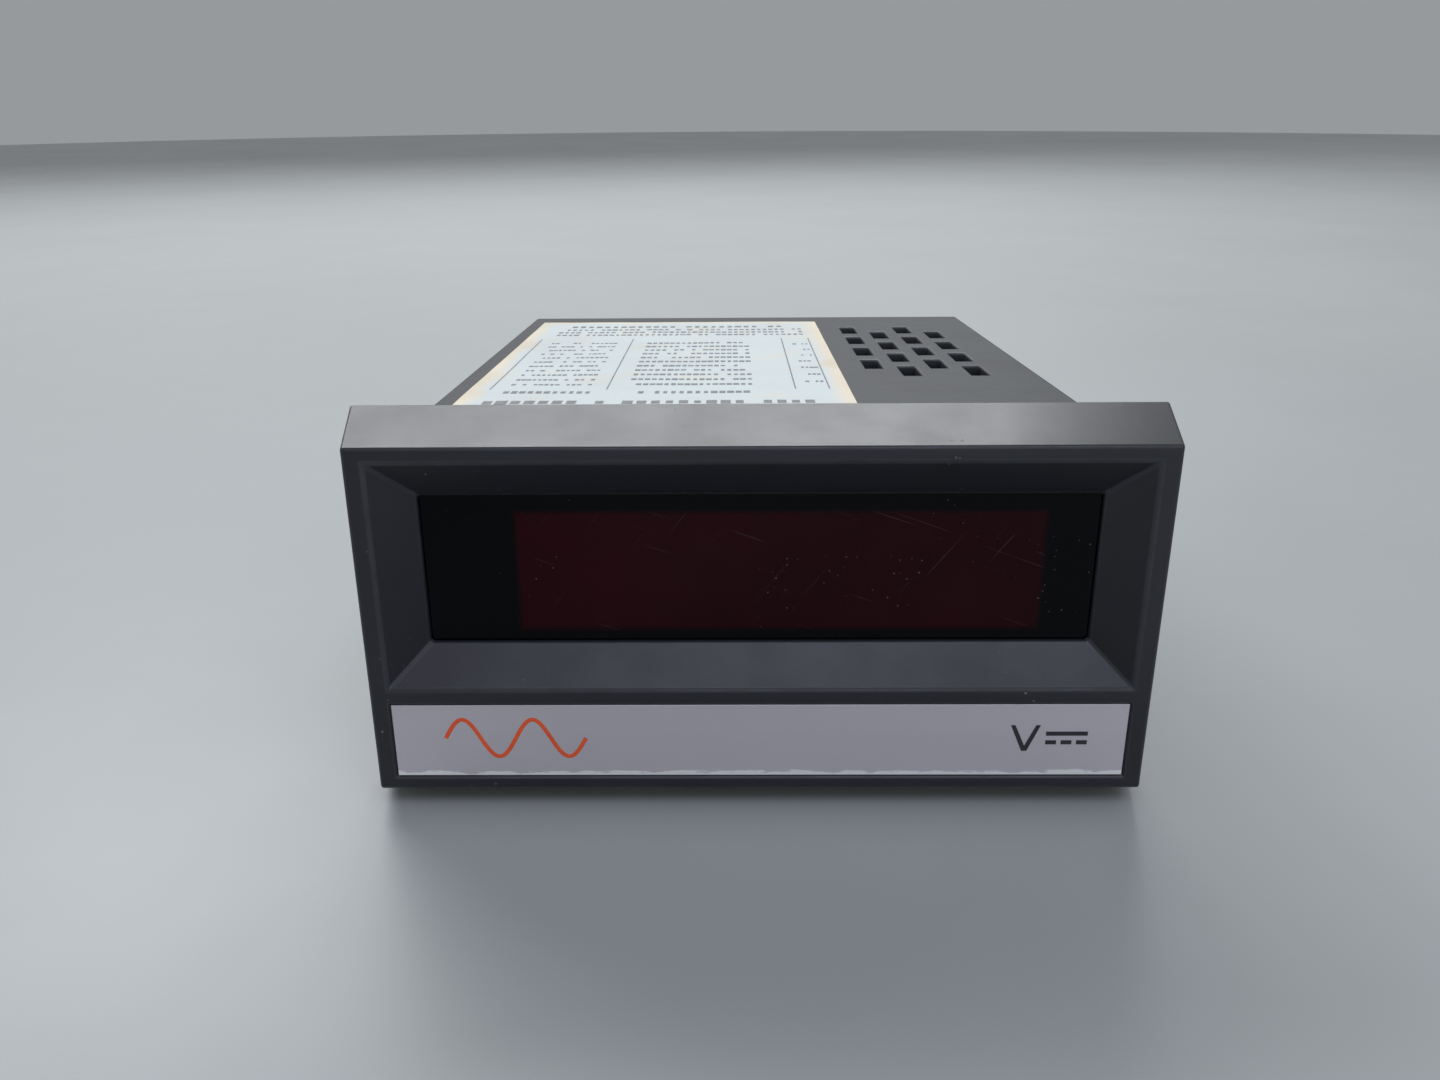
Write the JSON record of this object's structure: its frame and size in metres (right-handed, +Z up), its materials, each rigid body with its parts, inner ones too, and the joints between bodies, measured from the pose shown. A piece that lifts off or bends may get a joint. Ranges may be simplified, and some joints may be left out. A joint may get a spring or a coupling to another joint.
{
  "type": "digital panel meter",
  "caption": "Digital panel meter for DC volts: flared bezel with a sloped display recess, vented sleeve and a slide-out electronics chassis with rear screw terminals.",
  "frame": {"origin": "centre of the panel cut-out, on the plane where the bezel seats against the panel", "axes": "+Z up, the front faces -Y, +Y runs along the sleeve behind the panel, +X to the right seen from the front"},
  "size_m": [0.1094, 0.1402, 0.0536],
  "materials": {
    "moulded_sleeve": "fine matt moulded",
    "moulded_bezel": "fine matt moulded",
    "paper_label": "printed, unglazed",
    "red_acrylic": "polished tinted acrylic",
    "black_mask": "screen-printed black",
    "brushed_foil": "brushed along its length",
    "circuit_board": "glass-epoxy with solder mask",
    "digit_housing": "matt",
    "segment_resin": "diffusing resin",
    "chip_epoxy": "moulded epoxy",
    "network_epoxy": "moulded epoxy",
    "black_nylon": "moulded",
    "tinned_metal": "tin plated",
    "gold_plate": "gold plated",
    "nickel_can": "nickel plated",
    "film_coating": "resin case",
    "ceramic_coating": "dipped",
    "resistor_coating": "dipped",
    "precision_coating": "dipped",
    "lamination_steel": "varnished plates",
    "bobbin_nylon": "moulded",
    "winding_tape": "polyester tape",
    "capacitor_sleeve": "shrunk sleeve",
    "sink_aluminium": "mill finish",
    "zinc_steel": "zinc plated",
    "fuse_glass": "clear",
    "trimmer_plastic": "moulded",
    "trimmer_brass": "turned",
    "rear_plastic": "fine matt moulded",
    "terminal_plastic": "moulded"
  },
  "bodies": {
    "case": {"case_sleeve": "moulded_sleeve", "rating_label": "paper_label"},
    "front_bezel": {"bezel": "moulded_bezel", "lens": "red_acrylic", "display_mask": "black_mask", "nameplate": "brushed_foil"},
    "chassis": {"main_board": "circuit_board", "display_board": "circuit_board", "sign_digit": "digit_housing", "full_digits": "digit_housing", "digit_segments": "segment_resin", "adc_chip": "chip_epoxy", "small_chips": "chip_epoxy", "digit_transistors": "chip_epoxy", "rectifier_diodes": "chip_epoxy", "regulator": "chip_epoxy", "resistor_network": "network_epoxy", "adc_socket": "black_nylon", "header_base": "black_nylon", "board_link_pins": "tinned_metal", "fuse_clips": "tinned_metal", "terminal_tabs": "tinned_metal", "header_pins": "gold_plate", "voltage_reference": "gold_plate", "crystal": "nickel_can", "film_capacitors": "film_coating", "disc_capacitors": "ceramic_coating", "resistors": "resistor_coating", "range_resistors": "precision_coating", "transformer_core": "lamination_steel", "transformer_bobbin": "bobbin_nylon", "transformer_winding": "winding_tape", "smoothing_capacitors": "capacitor_sleeve", "heat_sink": "sink_aluminium", "cover_brackets": "zinc_steel", "chassis_screws": "zinc_steel", "trimmers": "trimmer_plastic", "rear_cover": "rear_plastic", "terminal_block": "terminal_plastic"},
    "zero_rotor": {"zero_rotor": "trimmer_brass"},
    "span_rotor": {"span_rotor": "trimmer_brass"},
    "decimal_point_shunt": {"decimal_point_shunt": "black_nylon"},
    "fuse": {"fuse_glass": "fuse_glass", "fuse_caps": "nickel_can"},
    "cover_washer_left": {"cover_washer_left": "zinc_steel"},
    "cover_washer_right": {"cover_washer_right": "zinc_steel"},
    "cover_screw_left": {"cover_screw_left": "zinc_steel"},
    "cover_screw_right": {"cover_screw_right": "zinc_steel"},
    "clamp_plate_1": {"clamp_plate_1": "tinned_metal"},
    "terminal_screw_1": {"terminal_screw_1": "zinc_steel"},
    "clamp_plate_2": {"clamp_plate_2": "tinned_metal"},
    "terminal_screw_2": {"terminal_screw_2": "zinc_steel"},
    "clamp_plate_3": {"clamp_plate_3": "tinned_metal"},
    "terminal_screw_3": {"terminal_screw_3": "zinc_steel"},
    "clamp_plate_4": {"clamp_plate_4": "tinned_metal"},
    "terminal_screw_4": {"terminal_screw_4": "zinc_steel"},
    "clamp_plate_5": {"clamp_plate_5": "tinned_metal"},
    "terminal_screw_5": {"terminal_screw_5": "zinc_steel"},
    "clamp_plate_6": {"clamp_plate_6": "tinned_metal"},
    "terminal_screw_6": {"terminal_screw_6": "zinc_steel"}
  },
  "joints": [
    {"name": "bezel_pull", "type": "slide", "parent": "case", "child": "front_bezel", "axis": [0, -1, 0], "range_m": [0, 0.02]},
    {"name": "chassis_pull", "type": "slide", "parent": "case", "child": "chassis", "axis": [0, 1, 0], "range_m": [0, 0.125]},
    {"name": "zero_turn", "type": "hinge", "parent": "chassis", "child": "zero_rotor", "pos_m": [0.015, -0.003, -0.01315], "axis": [0, -1, 0], "range_deg": [-135, 135]},
    {"name": "span_turn", "type": "hinge", "parent": "chassis", "child": "span_rotor", "pos_m": [0.03, -0.003, -0.01315], "axis": [0, -1, 0], "range_deg": [-135, 135]},
    {"name": "shunt_pull", "type": "slide", "parent": "chassis", "child": "decimal_point_shunt", "axis": [0, -1, 0], "range_m": [0, 0.0042]},
    {"name": "fuse_lift", "type": "slide", "parent": "chassis", "child": "fuse", "axis": [0, 0, 1], "range_m": [0, 0.009]},
    {"name": "clamp_1_slide", "type": "slide", "parent": "chassis", "child": "clamp_plate_1", "axis": [0, 1, 0], "range_m": [0, 0.003]},
    {"name": "terminal_1_turn", "type": "hinge", "parent": "clamp_plate_1", "child": "terminal_screw_1", "pos_m": [-0.02375, 0.121, -0.0045], "axis": [0, 1, 0], "range_deg": [0, 2160]},
    {"name": "clamp_2_slide", "type": "slide", "parent": "chassis", "child": "clamp_plate_2", "axis": [0, 1, 0], "range_m": [0, 0.003]},
    {"name": "terminal_2_turn", "type": "hinge", "parent": "clamp_plate_2", "child": "terminal_screw_2", "pos_m": [-0.01425, 0.121, -0.0045], "axis": [0, 1, 0], "range_deg": [0, 2160]},
    {"name": "clamp_3_slide", "type": "slide", "parent": "chassis", "child": "clamp_plate_3", "axis": [0, 1, 0], "range_m": [0, 0.003]},
    {"name": "terminal_3_turn", "type": "hinge", "parent": "clamp_plate_3", "child": "terminal_screw_3", "pos_m": [-0.00475, 0.121, -0.0045], "axis": [0, 1, 0], "range_deg": [0, 2160]},
    {"name": "clamp_4_slide", "type": "slide", "parent": "chassis", "child": "clamp_plate_4", "axis": [0, 1, 0], "range_m": [0, 0.003]},
    {"name": "terminal_4_turn", "type": "hinge", "parent": "clamp_plate_4", "child": "terminal_screw_4", "pos_m": [0.00475, 0.121, -0.0045], "axis": [0, 1, 0], "range_deg": [0, 2160]},
    {"name": "clamp_5_slide", "type": "slide", "parent": "chassis", "child": "clamp_plate_5", "axis": [0, 1, 0], "range_m": [0, 0.003]},
    {"name": "terminal_5_turn", "type": "hinge", "parent": "clamp_plate_5", "child": "terminal_screw_5", "pos_m": [0.01425, 0.121, -0.0045], "axis": [0, 1, 0], "range_deg": [0, 2160]},
    {"name": "clamp_6_slide", "type": "slide", "parent": "chassis", "child": "clamp_plate_6", "axis": [0, 1, 0], "range_m": [0, 0.003]},
    {"name": "terminal_6_turn", "type": "hinge", "parent": "clamp_plate_6", "child": "terminal_screw_6", "pos_m": [0.02375, 0.121, -0.0045], "axis": [0, 1, 0], "range_deg": [0, 2160]},
    {"name": "washer_left_slide", "type": "slide", "parent": "chassis", "child": "cover_washer_left", "axis": [0, 1, 0], "range_m": [0, 0.007]},
    {"name": "cover_screw_left_turn", "type": "hinge", "parent": "cover_washer_left", "child": "cover_screw_left", "pos_m": [-0.0442, 0.117, 0.002], "axis": [0, 1, 0], "range_deg": [0, 5040]},
    {"name": "washer_right_slide", "type": "slide", "parent": "chassis", "child": "cover_washer_right", "axis": [0, 1, 0], "range_m": [0, 0.007]},
    {"name": "cover_screw_right_turn", "type": "hinge", "parent": "cover_washer_right", "child": "cover_screw_right", "pos_m": [0.0442, 0.117, 0.002], "axis": [0, 1, 0], "range_deg": [0, 5040]}
  ],
  "couplings": [
    {"joint": "terminal_1_turn", "follows": "clamp_1_slide", "rad_per_m": 12566},
    {"joint": "terminal_2_turn", "follows": "clamp_2_slide", "rad_per_m": 12566},
    {"joint": "terminal_3_turn", "follows": "clamp_3_slide", "rad_per_m": 12566},
    {"joint": "terminal_4_turn", "follows": "clamp_4_slide", "rad_per_m": 12566},
    {"joint": "terminal_5_turn", "follows": "clamp_5_slide", "rad_per_m": 12566},
    {"joint": "terminal_6_turn", "follows": "clamp_6_slide", "rad_per_m": 12566},
    {"joint": "cover_screw_left_turn", "follows": "washer_left_slide", "rad_per_m": 12566},
    {"joint": "cover_screw_right_turn", "follows": "washer_right_slide", "rad_per_m": 12566}
  ]
}
